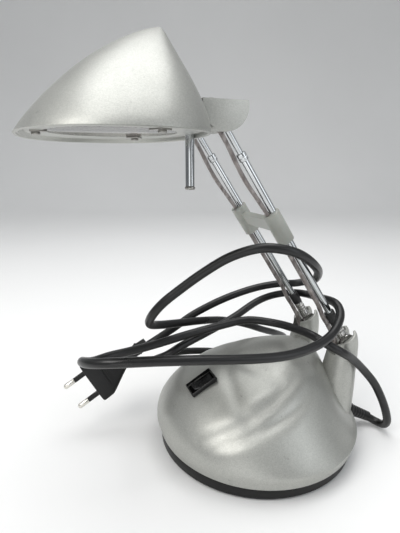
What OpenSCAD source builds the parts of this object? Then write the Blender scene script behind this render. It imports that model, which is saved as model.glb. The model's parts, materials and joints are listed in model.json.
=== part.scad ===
// Telescopic-arm desk lamp: domed base, two telescoping struts and a sail-shaped tilting shade.
// Millimetres, +Z up. Origin: centre of the underside, where the lamp rests.
// The arm leans towards -Y; the hinge axes run along X.

/* [Base] */
// Diameter of the base at its lower silver edge
base_d = 150; // [130:1:190]
// Height of the dome's top above the table
dome_h = 71; // [60:1:90]
// Height of the black bottom pan
pan_h = 10; // [8:0.5:14]
// How far the black pan is set in from the silver edge
pan_inset = 1; // [0.5:0.5:8]
// Height of the plain band above the pan
band_h = 8; // [5:0.5:12]
// Wall of the moulded shells
wall = 2.5; // [2:0.1:3.5]
// Thickness of the rubber foot pad
pad_t = 1.2; // [0.8:0.1:3]

/* [Arm] */
// Distance between the two struts
strut_gap = 47; // [39:1:57]
// Height of the arm's hinge above the table
hinge_z = 75.5; // [68:0.5:95]
// How far the arm's hinge is behind the base's centre
hinge_y = 64; // [56:0.5:67]
// Forward lean of the arm at rest, in degrees
lean = 34; // [20:1:45]
// Outer radius of the lower chrome tubes
tube_r = 2.4; // [2:0.1:3.5]
// Wall of the lower chrome tubes
tube_wall = 0.45; // [0.3:0.05:0.8]
// Distance from the hinge to the top of the lower tubes
tube_end = 160; // [140:1:200]
// Radius of the supply leads
lead_r = 1.6; // [1:0.1:2.2]
// Length of the moulded clip that holds the tubes together
clip_l = 22; // [14:1:30]
// Distance from the hinge to the middle of the clip
clip_at = 108; // [80:1:130]

/* [Head] */
// Length of the shade's rim, front to back
head_l = 105; // [90:1:130]
// Width of the shade's rim
head_w = 142; // [110:1:160]
// Height of the shade above its rim
head_h = 60; // [50:1:80]
// Radius of the round glass
glass_r = 37; // [30:0.5:42]
// Radius of the housing that carries the head's hinge
housing_r = 14; // [12:0.5:18]
// Width of the housing
housing_w = 61; // [57:1:72]
// Length of the handle rod below the rim
handle_l = 31; // [20:1:50]
// Radius of the handle rod
handle_r = 2.9; // [2:0.1:4]

/* [Cord] */
// Diameter of the mains cord
cord_d = 6; // [5:0.5:8]

/* [Hidden] */

$fn = 48;
fit = 0.05;
gap = 0.4;
cut = 0.01;
sides = [-1, 1];

base_r = base_d / 2;
base_front = base_r - 4;
pan_r = (base_r + base_front) / 2 - pan_inset;
pan_y = (base_r - base_front) / 2;
crease_r = base_r + 2;
crease_front = base_front + 2;
crease_z = pan_h + band_h;
peak_y = 35;
shell_steps = 18;
around = 72;

// Dome sections, from the crease (s = 0) to the top (s = 1).
function dome_z(s) = crease_z + (dome_h - crease_z) * s;
function dome_front(s) = peak_y - (peak_y + crease_front) * pow(1 - pow(s, 2.2), 0.6);
function dome_rear(s) = peak_y + (crease_r - peak_y - 27 * pow(s, 0.6)) * pow(1 - pow(s, 12), 0.5);
function dome_half(s) = crease_r * pow(1 - pow(s, 1.2), 0.55);
function eased(t, k) = 1 - pow(1 - t, k);
function ellipse_ring(half_x, front, rear, z, n, power = 2) = [
  for (i = [0:n - 1])
    let (a = 360 * i / n, c = cos(a), s = sin(a))
      [half_x * sign(c) * pow(abs(c), 2 / power),
       (front + rear) / 2 + (rear - front) / 2 * sign(s) * pow(abs(s), 2 / power), z]
];
function dome_ring(s, inset) =
  ellipse_ring(max(dome_half(s) - inset, 0.6), min(dome_front(s) + inset, peak_y - 0.6),
               max(dome_rear(s) - inset, peak_y + 0.6), dome_z(s) - inset * s, around);

// A closed solid through a stack of rings that all have the same number of points.
module loft(rings) {
  n = len(rings[0]);
  last = len(rings) - 1;
  points = [for (ring = rings) for (p = ring) p];
  floor_face = [for (i = [0:n - 1]) i];
  roof_face = [for (i = [n - 1:-1:0]) last * n + i];
  side_faces = [
    for (j = [0:last - 1]) for (i = [0:n - 1])
      let (k = (i + 1) % n, a = j * n + i, b = j * n + k, c = (j + 1) * n + k, d = (j + 1) * n + i)
        for (f = [[a, c, b], [a, d, c]]) f
  ];
  polyhedron(points = points, faces = concat([floor_face], [roof_face], side_faces), convexity = 6);
}

// A smooth curve through hand-placed points, and a tube swept along it.
function spline_point(p, i, t) =
  let (n = len(p), a = p[max(i - 1, 0)], b = p[i], c = p[min(i + 1, n - 1)], d = p[min(i + 2, n - 1)])
    0.5 * (2 * b + (c - a) * t + (2 * a - 5 * b + 4 * c - d) * t * t + (3 * b - a - 3 * c + d) * t * t * t);
function spline(p, per) = concat(
  [for (i = [0:len(p) - 2]) for (k = [0:per - 1]) spline_point(p, i, k / per)], [p[len(p) - 1]]);
function unit(v) = v / norm(v);
function direction(p, i) = unit(p[min(i + 1, len(p) - 1)] - p[max(i - 1, 0)]);
function side_from(v, d) = unit(v - (v * d) * d);
function carried(p, i, sides_so_far) =
  i == len(p) ? sides_so_far
  : carried(p, i + 1, concat(sides_so_far, [side_from(sides_so_far[i - 1], direction(p, i))]));
function side_list(p, first) = carried(p, 1, [side_from(first, direction(p, 0))]);
module tube_along(p, r, n, first = [0, 0, 1]) {
  s = side_list(p, first);
  loft([for (i = [0:len(p) - 1])
    let (d = direction(p, i), u = s[i], v = cross(d, u))
      [for (k = [0:n - 1]) p[i] + r * cos(360 * k / n) * u + r * sin(360 * k / n) * v]]);
}

module rod(r, h) { cylinder(r = r, h = h); }
module tube(r_out, r_in, h) {
  difference() {
    cylinder(r = r_out, h = h);
    translate([0, 0, -cut]) cylinder(r = r_in, h = h + 2 * cut);
  }
}
module rod_x(r, x0, x1) { translate([x0, 0, 0]) rotate([0, 90, 0]) cylinder(r = r, h = x1 - x0); }
module block(size, centre) { translate(centre - size / 2) cube(size); }

// ---- Base ----
horn_r = 10;
cup_wall = 1.8;
cup_rim = 5.5;
cup_floor = 3;
eye_w = 8;
eye_r = 6;
pin_r = 2.5;
slot_w = eye_w + 2 * gap;
hinge_x = strut_gap / 2;
slot_low = hinge_z - 8;
horn_low_z = crease_z + 14;
horn_low_y = hinge_y - 6;

module foot_pad() { color("dimgray") translate([0, pan_y, 0]) cylinder(r = pan_r - 6, h = pad_t, $fn = 96); }

screw_r = 3.2;
screw_at = 52;
module bottom_pan() {
  color("black") difference() {
    translate([0, pan_y, pad_t]) cylinder(r = pan_r, h = pan_h - pad_t, $fn = 96);
    translate([0, pan_y, pad_t + 2.5]) cylinder(r = pan_r - wall, h = pan_h, $fn = 96);
    for (a = [45:90:315]) rotate([0, 0, a]) translate([screw_at, 0, -cut]) cylinder(r = 2, h = pan_h);
  }
}
module pan_screws() {
  color("silver") for (a = [45:90:315]) rotate([0, 0, a]) translate([screw_at, 0, pad_t + 2.5]) {
    cylinder(r = screw_r, h = 2);
    translate([0, 0, -2.4]) cylinder(r = 1.9, h = 2.4 + cut);
  }
}

module on_arm(s) { translate([s * hinge_x, hinge_y, hinge_z]) rotate([lean, 0, 0]) children(); }
module horn(s) {
  hull() {
    on_arm(s) translate([0, 0, -2]) cylinder(r = horn_r, h = cup_rim + 2, $fn = 64);
    translate([s * hinge_x, horn_low_y, horn_low_z]) sphere(r = horn_r + 4, $fn = 40);
    translate([s * hinge_x, horn_low_y - 4, crease_z]) cylinder(r = horn_r + 6, h = 1, $fn = 40);
  }
}
module dome_solid(inset, low) {
  start = low < crease_z ? [
    ellipse_ring(base_r - inset, -base_front + inset, base_r - inset, low, around),
    ellipse_ring(crease_r - inset, -crease_front + inset, crease_r - inset, crease_z, around)
  ] : [];
  loft(concat(start, [for (k = [1:shell_steps]) dome_ring(eased(k / shell_steps, 1.8), inset)]));
}
switch_tilt = 30;
switch_up = 0.6566;
switch_at = [7, dome_front(switch_up) + 0.8, dome_z(switch_up)];
switch_l = 21;
switch_w = 15;
switch_hole_l = 19;
switch_hole_w = 13;
switch_deep = 16;
gland_a = 74;
gland_tilt = 25;
gland_in = 3;
gland_at = [(base_r - gland_in) * cos(gland_a), (base_r - gland_in) * sin(gland_a), crease_z - 1];
module at_switch() { translate(switch_at) rotate([switch_tilt, 0, 0]) children(); }
module at_gland() { translate(gland_at) rotate([0, 90 + gland_tilt, gland_a]) children(); }
module base_shell() {
  color("silver") difference() {
    union() {
      dome_solid(0, pan_h);
      for (s = sides) horn(s);
    }
    translate([0, 0, -cut]) dome_solid(wall, pan_h - 1);
    for (s = sides) {
      translate([s * hinge_x - slot_w / 2, hinge_y - 40, slot_low]) cube([slot_w, 80, 40]);
      on_arm(s) translate([0, 0, cup_floor]) cylinder(r = horn_r - cup_wall, h = 20, $fn = 64);
      translate([s * hinge_x - slot_w / 2, hinge_y, hinge_z]) rotate([0, 90, 0]) cylinder(r = eye_r + gap, h = slot_w);
      translate([s * hinge_x, hinge_y, hinge_z]) rod_x(pin_r + fit, -7.5, 7.5);
    }
    at_switch() block([switch_hole_w, switch_hole_l, 30], [0, 0, 0]);
    at_gland() translate([0, 0, -20]) cylinder(r = cord_d / 2 + 1.6, h = 60);
  }
}

core_size = [52, 26, 40];
core_at = [0, 6, pad_t + 5 + 20];
coil_size = [34, 40, 26];
module transformer_core() {
  color("gray") difference() {
    block(core_size, core_at);
    for (s = sides) block([7, 60, 26 + 2 * gap], core_at + [s * 13, 0, 0]);
  }
}
module transformer_coil() {
  color("orange") difference() {
    block(coil_size, core_at);
    block([26 - 7 + 2 * gap, 60, 60], core_at);
    for (s = sides) block([20, 26 + 2 * gap, 60], core_at + [s * (13 + 3.5 + 10 - gap), 0, 0]);
  }
}
module transformer_bracket() {
  color("silver") for (s = sides) difference() {
    union() {
      block([10, 26, 2.5], [s * 32, core_at[1], pad_t + 3.75]);
      block([1.5, 26, 12], [s * (26.75 + gap / 4), core_at[1], pad_t + 8.5]);
    }
    translate([s * 33, core_at[1], 0]) cylinder(r = 1.8, h = 20);
  }
}
module terminal_block() {
  color("white") difference() {
    block([30, 12, 11], [0, 44, pad_t + 8]);
    for (i = [-1:1]) translate([i * 9, 30, pad_t + 8]) rotate([-90, 0, 0]) cylinder(r = 2, h = 30);
  }
}

// ---- Switch ----
rocker_w = 9.6;
rocker_l = 15.6;
rocker_slope = 9;
rocker_axis_z = -2.5;
module switch_body() {
  color("black") at_switch() difference() {
    union() {
      block([switch_w, switch_l, 2], [0, 0, 1.4]);
      block([switch_hole_w - gap, switch_hole_l - gap, switch_deep], [0, 0, 0.4 - switch_deep / 2]);
    }
    block([rocker_w + gap, rocker_l + 2 * gap, 20], [0, 0, 0]);
    translate([0, 0, rocker_axis_z]) rod_x(1 + fit, -5.4, 5.4);
  }
}
// Drawn in its rest position, with the rear end pressed.
module switch_rocker() {
  color("black") at_switch() translate([0, 0, rocker_axis_z]) rotate([-rocker_slope, 0, 0]) difference() {
    union() {
      rod_x(1, -5.3, 5.3);
      for (s = sides) rotate([s * rocker_slope, 0, 0])
        block([rocker_w - gap, rocker_l / 2 + 3, 5.8], [0, s * rocker_l / 4 - s * 1.4, 3.1]);
    }
    block([20, 40, 20], [0, 0, -10.4]);
    for (s = sides) translate([0, s * (rocker_l / 2 + 5), 0]) block([20, 10, 30], [0, 0, 0]);
  }
}

// ---- Cord ----
cord_r = cord_d / 2;
gland_l = 26;
module cord_gland() {
  color("black") at_gland() difference() {
    union() {
      translate([0, 0, 2]) cylinder(r = cord_r + 1.2, h = 5);
      translate([0, 0, -3]) cylinder(r = cord_r + 4, h = 2);
      translate([0, 0, -1.5]) cylinder(r = cord_r + 1.2, h = 4);
      translate([0, 0, 6.4]) cylinder(r = cord_r + 2.4, h = 2.4);
      translate([0, 0, 8.8 - cut]) cylinder(r1 = cord_r + 1.6, r2 = cord_r + 0.7, h = gland_l - 8.8);
    }
    translate([0, 0, -5]) cylinder(r = cord_r, h = 60);
  }
}

// The cord's route: out of the gland, up past the rear, twice round the struts, to the plug.
route = [
  [18.4, 64, 19.5], [21.8, 76.2, 13.6], [25.3, 88.4, 7.7], [31.5, 95, 4.2], [38.5, 96.5, 5.6],
  [43, 94.5, 12.5], [43.5, 91, 22.5], [42, 87, 33], [39.5, 81, 45], [38, 71, 57], [40, 58, 69],
  [43, 45, 78], [39, 35, 84], [28, 30, 87], [12, 27, 86], [-4, 20, 85], [-15, 2, 86], [-16, -21, 84],
  [-14, -46, 82], [-13, -68, 79], [-12, -88, 77], [-9, -105, 77], [-1, -117, 79], [14, -124, 87.5],
  [29, -120, 93], [39, -108, 96], [44, -86, 95.5], [48, -60, 93.5], [51, -32, 90.5], [52, -6, 88.5],
  [49, 16, 89], [44, 33, 92], [38, 44, 97], [31.4, 50.6, 102.4], [22, 52.6, 106.4], [0, 54.5, 103.3],
  [-20, 57.6, 99.4], [-33, 54, 97], [-41, 41, 94], [-38, 22, 91], [-31, -2, 83], [-24, -27, 77], [-17, -49, 73],
  [-15, -62, 68], [-22, -72, 60.5], [-35, -71, 54], [-47, -60, 50], [-59, -43, 46], [-69, -21, 39],
  [-78, 4, 30], [-83, 28, 21], [-90, 52, 15], [-93, 74, 19], [-82, 80, 31], [-68, 62, 44],
  [-60, 42, 54], [-54, 19, 65.5], [-46, -6, 75.5], [-31, -32, 84], [-23, -52.5, 88], [-14, -69, 92.5],
  [-5, -77.5, 98], [4, -78, 107], [10, -72, 117], [14, -62, 126], [20, -49, 137], [28, -34, 148],
  [36, -18, 154], [41, -3, 153], [41, 10, 148], [35, 24, 139], [23, 36, 130], [6, 46, 120],
  [-12, 51, 113], [-28, 52, 107], [-40, 42, 104], [-44, 22, 101], [-44, -5, 95], [-43, -31, 86],
  [-39.5, -50, 77.5], [-38, -66, 70], [-39.5, -79, 62.5], [-42.7, -93, 53]
];
module mains_cord() { color("black") tube_along(route, cord_r, 10); }

// ---- Plug, drawn from its face along the pins ----
plug_at = [-47, -115, 38.5];
plug_turn = -11;
plug_tilt = 33;
plug_roll = -17;
plug_l = 31;
plug_w = 34;
plug_t = 13.6;
pin_gap = 18.6;
pin_l = 19;
pin_deep = 12;
pin_r_metal = 2;
pin_r_core = 1.4;
sleeve_l = 10;
relief_l = 20;
module at_plug() {
  translate(plug_at) rotate([0, 0, plug_turn]) rotate([plug_tilt, plug_roll, 0]) rotate([90, 0, 0]) children();
}
module plug_slice(w, t, z) { translate([0, 0, z]) block([t, w, 1], [0, 0, 0]); }
module plug_body() {
  color("black") at_plug() difference() {
    union() {
      hull() {
        plug_slice(plug_w, plug_t, -0.5);
        plug_slice(plug_w - 1, plug_t, -9.5);
      }
      hull() {
        plug_slice(plug_w - 1, plug_t, -9.5);
        plug_slice(14, 11, 5 - plug_l);
      }
      translate([0, 0, -plug_l]) cylinder(r = 8, h = 2.5);
      translate([0, 0, -plug_l]) cylinder(r = 5.4, h = 8);
    }
    for (s = sides) translate([0, s * pin_gap / 2, -pin_deep]) cylinder(r = pin_r_metal, h = 20);
    translate([0, 0, -plug_l - cut]) cylinder(r = cord_r, h = 8);
  }
}
module plug_strain_relief() {
  color("black") at_plug() translate([0, 0, -plug_l]) mirror([0, 0, 1]) difference() {
    union() {
      cylinder(r1 = 5.4, r2 = cord_r + 0.8, h = relief_l);
      translate([0, 0, 11]) cylinder(r = 5.2, h = 1.6);
    }
    translate([0, 0, -1]) cylinder(r = cord_r, h = relief_l + 2);
  }
}
module plug_pin(s) {
  color("silver") at_plug() translate([0, s * pin_gap / 2, -pin_deep]) {
    cylinder(r = pin_r_core, h = pin_deep + sleeve_l);
    cylinder(r = pin_r_metal, h = 2);
    translate([0, 0, pin_deep + sleeve_l - cut]) cylinder(r = pin_r_metal, h = pin_l - sleeve_l - 1.5);
    translate([0, 0, pin_deep + pin_l - 1.5 - 2 * cut]) cylinder(r1 = pin_r_metal, r2 = 1.1, h = 1.5);
  }
}
module plug_sleeve(s) {
  color("black") at_plug() translate([0, s * pin_gap / 2, 2 - pin_deep]) tube(pin_r_metal, pin_r_core, pin_deep - 2 + sleeve_l);
}
module plug_pin_a() { plug_pin(-1); }
module plug_pin_b() { plug_pin(1); }
module plug_sleeve_a() { plug_sleeve(-1); }
module plug_sleeve_b() { plug_sleeve(1); }

// ---- Arm, drawn along the strut from its hinge ----
sleeve_r = 3.7;
sleeve_at = 20;
tube_r_in = tube_r - tube_wall;
rod_r = tube_r_in - fit;
collar_r = 3.1;
lead_off = tube_r + lead_r + gap;
clip_r = 5.6;
clip_y = -(lead_off + lead_r - tube_r) / 2;
lead_top = tube_end + 23;
rod_bottom = tube_end - 110;
rod_top = tube_end + 25.5;
axle_along = tube_end + 29.5;
lead_gap = 0.5;
module hinge_pin(s) {
  color("silver") translate([s * hinge_x, hinge_y, hinge_z]) {
    rod_x(pin_r, -7, 7);
  }
}
module strut_foot(s) {
  color("silver") on_arm(s) difference() {
    union() {
      rod_x(eye_r, -eye_w / 2, eye_w / 2);
      cylinder(r = 3.5, h = sleeve_at);
      cylinder(r = tube_r_in, h = sleeve_at + 6);
    }
    rod_x(pin_r + fit, -10, 10);
    for (z = [11:2.4:17]) translate([0, 0, z]) tube(6, 3, 1);
  }
}
module strut_sleeve(s) { color("black") on_arm(s) translate([0, 0, sleeve_at]) tube(sleeve_r, tube_r, 10); }
module lower_tube(s) { color("lightgray") on_arm(s) translate([0, 0, sleeve_at]) tube(tube_r, tube_r_in, tube_end - sleeve_at); }
module tube_collar(s) {
  color("lightgray") on_arm(s) translate([0, 0, tube_end - 3.5]) difference() {
    cylinder(r = collar_r, h = 5);
    translate([0, 0, -cut]) cylinder(r = tube_r, h = 3.5 + cut);
    cylinder(r = rod_r + fit, h = 10);
  }
}
module tube_clip() {
  color("darkgray") difference() {
    union() {
      for (s = sides) on_arm(s) translate([0, clip_y, clip_at - clip_l / 2]) cylinder(r = clip_r, h = clip_l);
      on_arm(0) block([strut_gap - clip_r, 4, 9], [0, clip_y - 0.6, clip_at + 2]);
    }
    for (s = sides) on_arm(s) {
      cylinder(r = tube_r, h = 200);
      translate([0, -lead_off, 0]) cylinder(r = lead_r, h = 200);
    }
  }
}
module lower_lead(s) {
  passing = sleeve_r + lead_r + gap;
  color("rosybrown") on_arm(s) tube_along([
    [0, -8.2, 2], [0, -7.2, 6], [0, -6.2, 11], [0, -passing, 18], [0, -passing, 26], [0, -passing, 31],
    [0, -lead_off - 0.4, 38], [0, -lead_off, 44], [0, -lead_off, clip_at - clip_l / 2],
    [0, -lead_off, clip_at + clip_l / 2]
  ], lead_r, 16, [1, 0, 0]);
}
module upper_lead(s) {
  low = clip_at + clip_l / 2 + lead_gap;
  span = axle_along - housing_r - low;
  bow = 1.6;
  bowed = [for (i = [0:12]) [0, -lead_off - bow * pow(sin(180 * i / 12), 2), low + span * i / 12]];
  color("rosybrown") on_arm(s) tube_along(concat(bowed, [[0, -lead_off, lead_top]]), lead_r, 16, [1, 0, 0]);
}
module upper_rod(s) { color("lightgray") on_arm(s) translate([0, 0, rod_bottom]) rod(rod_r, rod_top - rod_bottom); }

module hinge_pin_l() { hinge_pin(-1); }
module hinge_pin_r() { hinge_pin(1); }
module strut_foot_l() { strut_foot(-1); }
module strut_foot_r() { strut_foot(1); }
module strut_sleeve_l() { strut_sleeve(-1); }
module strut_sleeve_r() { strut_sleeve(1); }
module lower_tube_l() { lower_tube(-1); }
module lower_tube_r() { lower_tube(1); }
module tube_collar_l() { tube_collar(-1); }
module tube_collar_r() { tube_collar(1); }
module lower_lead_l() { lower_lead(-1); }
module lower_lead_r() { lower_lead(1); }
module upper_rod_l() { upper_rod(-1); }
module upper_rod_r() { upper_rod(1); }
module upper_lead_l() { upper_lead(-1); }
module upper_lead_r() { upper_lead(1); }

// ---- Head, placed from its hinge at the housing's centre ----
axle_off = 4;
axle_y = hinge_y - axle_along * sin(lean) + axle_off * cos(lean);
axle_z = hinge_z + axle_along * cos(lean) + axle_off * sin(lean);
axle_r = 2.5;
hub_r = 7;
hub_w = 16;
slot_half = hub_w / 2 + gap;
notch_r = housing_r + 1.2;
module at_axle() { translate([0, axle_y, axle_z]) children(); }
module along_x(w) { rotate([90, 0, 90]) translate([0, 0, -w / 2]) linear_extrude(w) children(); }
module head_housing() {
  color("silver") difference() {
    at_axle() difference() {
      along_x(housing_w) intersection() {
        circle(r = housing_r, $fn = 64);
        translate([-50, -47]) square([100, 50]);
      }
      block([2 * slot_half, housing_r + 8.5, 50], [0, (8.5 - housing_r) / 2, 0]);
      rod_x(axle_r, -housing_w, housing_w / 2 - 2);
    }
    for (s = sides) on_arm(s) {
      cylinder(r = rod_r, h = rod_top);
      translate([0, -lead_off, 0]) cylinder(r = lead_r + fit, h = lead_top + 0.2);
    }
  }
}
module head_axle() { color("silver") at_axle() rod_x(axle_r, -housing_w / 2 + 1, housing_w / 2 - 2); }

head_ahead = housing_r - 8;
head_below = 16.4;
rim_y = axle_y - head_l / 2 - head_ahead;
rim_z = axle_z - head_below;
shade_wall = 2.2;
shade_steps = 16;
shade_power = 2.3;
function shade_grow(s) = pow(1 - pow(s, 1.25), 0.8);
function shade_mid(s) = rim_y + head_l * 0.282 * (0.62 * s + 0.38 * pow(s, 5));
function shade_ring(s, inset, drop = 0) =
  let (half_y = max(head_l / 2 * shade_grow(s) - inset, 0.4), half_x = max(head_w / 2 * shade_grow(s) - inset, 0.4))
    ellipse_ring(half_x, shade_mid(s) - half_y, shade_mid(s) + half_y, rim_z + head_h * s - drop, around, shade_power);
module shade_solid(inset, drop, top) {
  loft([for (k = [0:shade_steps]) shade_ring(top * eased(k / shade_steps, 1.5), inset, drop)]);
}
module shade_shell() {
  color("silver") difference() {
    shade_solid(0, 0, 1);
    shade_solid(shade_wall, 0.5, 0.92);
    at_axle() rod_x(notch_r, -housing_w / 2 - 1.2, housing_w / 2 + 1.2);
    translate([0, handle_y, 0]) cylinder(r = handle_r + 2 * fit, h = rim_z + bezel_up + 1.3);
  }
}
bezel_up = 2.5;
bezel_t = 2;
glass_t = 2.5;
claw_at = glass_r + 4;
claw_angles = [30, 150, 270];
handle_y = rim_y + head_l / 2 - 5;
module at_rim() { translate([0, rim_y, rim_z]) children(); }
module shade_bezel() {
  color("silver") difference() {
    union() {
      translate([0, 0, rim_z + bezel_up]) linear_extrude(bezel_t)
        polygon([for (p = shade_ring(0.075, shade_wall + 0.25)) [p[0], p[1]]]);
      translate([0, handle_y, rim_z + bezel_up]) cylinder(r = handle_r + 1.5, h = 2);
    }
    at_rim() {
      cylinder(r = glass_r + gap, h = 20);
      for (a = claw_angles) rotate([0, 0, a]) translate([claw_at, 0, 0]) cylinder(r = 1.2, h = 20);
    }
    translate([0, handle_y, 0]) cylinder(r = handle_r, h = rim_z + bezel_up + 1.2);
    at_axle() rod_x(notch_r, -housing_w / 2 - 1.2, housing_w / 2 + 1.2);
  }
}
module cover_glass() { color("lightblue", 0.4) at_rim() translate([0, 0, bezel_up]) cylinder(r = glass_r, h = glass_t, $fn = 96); }
module glass_claws() {
  color("dimgray") at_rim() for (a = claw_angles) rotate([0, 0, a]) difference() {
    block([9, 8, 0.8], [claw_at - 1.5, 0, bezel_up - 0.4]);
    translate([claw_at, 0, 0]) cylinder(r = 1.2, h = 20);
  }
}
module claw_screws() {
  color("dimgray") at_rim() for (a = claw_angles) rotate([0, 0, a]) translate([claw_at, 0, 0]) {
    translate([0, 0, bezel_up - 2.3]) cylinder(r = 2.4, h = 1.5);
    translate([0, 0, bezel_up - 0.8 - cut]) cylinder(r = 1.2, h = bezel_t + 0.8);
  }
}
bowl_low = bezel_up + glass_t + 0.1;
bowl_h = 24;
bowl_t = 0.8;
bowl_hole = 5.5;
function bowl_z(r) = bowl_h * (1 - pow(r / (glass_r + 1), 2));
module reflector() {
  rim = glass_r - 1;
  color("white") at_rim() translate([0, 0, bowl_low]) rotate_extrude($fn = 72) polygon(concat(
    [for (r = [bowl_hole:(rim - bowl_hole) / 8:rim + 0.1]) [r, bowl_z(r)]],
    [[glass_r + 2.4, 0], [glass_r + 2.4, bowl_t]],
    [for (r = [rim:-(rim - bowl_hole) / 8:bowl_hole - 0.1]) [r + 0.4, bowl_z(r) + bowl_t]]));
}
holder_at = bowl_low + bowl_z(bowl_hole) + bowl_t;
module lamp_holder() {
  color("white") at_rim() translate([0, 0, holder_at]) difference() {
    cylinder(r = 6, h = 8);
    for (s = sides) translate([s * 2, 0, -cut]) cylinder(r = 0.6, h = 6);
  }
}
bulb_r = 4.4;
bulb_base = holder_at - 2.5;
module halogen_bulb() {
  color("lightyellow") at_rim() translate([0, 0, bulb_base]) difference() {
    union() {
      translate([0, 0, -4]) block([7, 3, 4], [0, 0, 2]);
      translate([0, 0, -12]) cylinder(r = bulb_r, h = 9);
      translate([0, 0, -12]) sphere(r = bulb_r);
    }
    for (s = sides) translate([s * 2, 0, -2]) cylinder(r = 0.5, h = 6);
  }
}
module bulb_pins() {
  color("silver") at_rim() for (s = sides) translate([s * 2, 0, bulb_base - 2]) cylinder(r = 0.5, h = 9);
}
plate_y = -housing_r - 3.5;
plate_clear = 46;
plate_w = head_w - 2 * plate_clear;
plate_low = rim_z + bezel_up + bezel_t - axle_z;
module head_knuckle() {
  color("silver") at_axle() difference() {
    union() {
      rod_x(hub_r, -hub_w / 2, hub_w / 2);
      block([hub_w - 3, -plate_y, 8], [0, plate_y / 2, -2]);
      translate([-plate_w / 2, plate_y - 1, plate_low]) cube([plate_w, 2, 2 - plate_low]);
    }
    rod_x(axle_r + fit, -20, 20);
  }
}
module handle_rod() {
  color("lightgray") translate([0, handle_y, rim_z - handle_l + 2]) rod(handle_r, handle_l + bezel_up + 1.2 - 2);
}
module handle_tip() {
  color("dimgray") translate([0, handle_y, rim_z - handle_l]) {
    cylinder(r = handle_r + 0.4, h = 2);
  }
}

foot_pad();
bottom_pan();
base_shell();
pan_screws();
transformer_core();
transformer_coil();
transformer_bracket();
terminal_block();
switch_body();
switch_rocker();
cord_gland();
hinge_pin_l();
hinge_pin_r();
mains_cord();
plug_body();
plug_strain_relief();
plug_pin_a();
plug_pin_b();
plug_sleeve_a();
plug_sleeve_b();
strut_foot_l();
strut_foot_r();
strut_sleeve_l();
strut_sleeve_r();
lower_tube_l();
lower_tube_r();
tube_collar_l();
tube_collar_r();
tube_clip();
lower_lead_l();
lower_lead_r();
upper_rod_l();
upper_rod_r();
upper_lead_l();
upper_lead_r();
head_housing();
head_axle();
shade_shell();
shade_bezel();
head_knuckle();
cover_glass();
glass_claws();
claw_screws();
reflector();
lamp_holder();
halogen_bulb();
bulb_pins();
handle_rod();
handle_tip();
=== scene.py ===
import json
import math

import bmesh
import bpy
import numpy as np
from mathutils import Matrix, Vector

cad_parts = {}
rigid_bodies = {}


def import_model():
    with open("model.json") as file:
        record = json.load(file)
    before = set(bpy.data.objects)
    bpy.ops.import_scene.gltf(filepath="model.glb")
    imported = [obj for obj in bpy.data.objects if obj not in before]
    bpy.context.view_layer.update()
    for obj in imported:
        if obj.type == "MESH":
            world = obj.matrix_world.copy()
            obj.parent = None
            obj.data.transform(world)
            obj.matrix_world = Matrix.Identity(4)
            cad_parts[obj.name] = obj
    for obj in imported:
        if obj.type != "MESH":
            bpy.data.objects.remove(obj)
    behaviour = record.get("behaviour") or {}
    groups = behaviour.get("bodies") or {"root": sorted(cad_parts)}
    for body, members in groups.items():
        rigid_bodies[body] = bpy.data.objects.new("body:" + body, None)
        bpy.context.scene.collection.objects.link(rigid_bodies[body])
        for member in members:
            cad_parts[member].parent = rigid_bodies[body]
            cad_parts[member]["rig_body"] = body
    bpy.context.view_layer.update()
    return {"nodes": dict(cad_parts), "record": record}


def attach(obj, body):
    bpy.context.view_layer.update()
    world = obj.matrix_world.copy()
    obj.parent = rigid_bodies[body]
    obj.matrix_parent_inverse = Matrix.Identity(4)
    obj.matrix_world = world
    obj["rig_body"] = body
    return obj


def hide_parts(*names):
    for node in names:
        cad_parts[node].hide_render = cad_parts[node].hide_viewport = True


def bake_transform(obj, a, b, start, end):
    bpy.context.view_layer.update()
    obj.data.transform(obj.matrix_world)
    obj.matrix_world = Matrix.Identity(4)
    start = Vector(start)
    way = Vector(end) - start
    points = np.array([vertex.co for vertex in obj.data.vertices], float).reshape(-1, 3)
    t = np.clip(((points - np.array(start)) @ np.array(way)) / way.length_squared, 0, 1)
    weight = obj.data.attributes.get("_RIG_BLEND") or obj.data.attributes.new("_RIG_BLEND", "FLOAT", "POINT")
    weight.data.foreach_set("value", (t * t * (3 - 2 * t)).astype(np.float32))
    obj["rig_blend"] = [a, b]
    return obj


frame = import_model()
NODES = frame["nodes"]
MM = 0.001

# Sizes in millimetres, the same as the part's.
HINGE = np.array([0.0, 64.0, 75.5])
HINGE_X = 23.5
LEAN = math.radians(34)
ALONG = np.array([0.0, -math.sin(LEAN), math.cos(LEAN)])
UNDER = np.array([0.0, -math.cos(LEAN), -math.sin(LEAN)])
AXLE = HINGE + 189.5 * ALONG - 4 * UNDER
HEAD_L, HEAD_W, HEAD_H = 105.0, 142.0, 60.0
RIM_Y = AXLE[1] - HEAD_L / 2 - 6.0
RIM_Z = AXLE[2] - 16.4
CREASE_Z = 18.0
DOME_TOP = 71.0
BASE_Y = 2.0
CORD_R = 3.0


# ---------------------------------------------------------------- mesh helpers
def mesh_object(name, verts, faces, scale=MM, smooth=True, angle=None):
    mesh = bpy.data.meshes.new(name)
    points = (np.asarray(verts, float) * scale).tolist()
    mesh.from_pydata(points, [], [list(map(int, f)) for f in faces])
    mesh.validate()
    obj = bpy.data.objects.new(name, mesh)
    bpy.context.scene.collection.objects.link(obj)
    fix_normals(obj)
    if smooth:
        shade(obj, angle)
    return obj


def fix_normals(obj):
    bm = bmesh.new()
    bm.from_mesh(obj.data)
    bmesh.ops.remove_doubles(bm, verts=bm.verts, dist=1e-7)
    bmesh.ops.recalc_face_normals(bm, faces=bm.faces)
    bm.to_mesh(obj.data)
    bm.free()


def shade(obj, angle=None):
    obj.data.polygons.foreach_set("use_smooth", [True] * len(obj.data.polygons))
    if angle is not None:
        obj.data.set_sharp_from_angle(angle=math.radians(angle))


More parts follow.
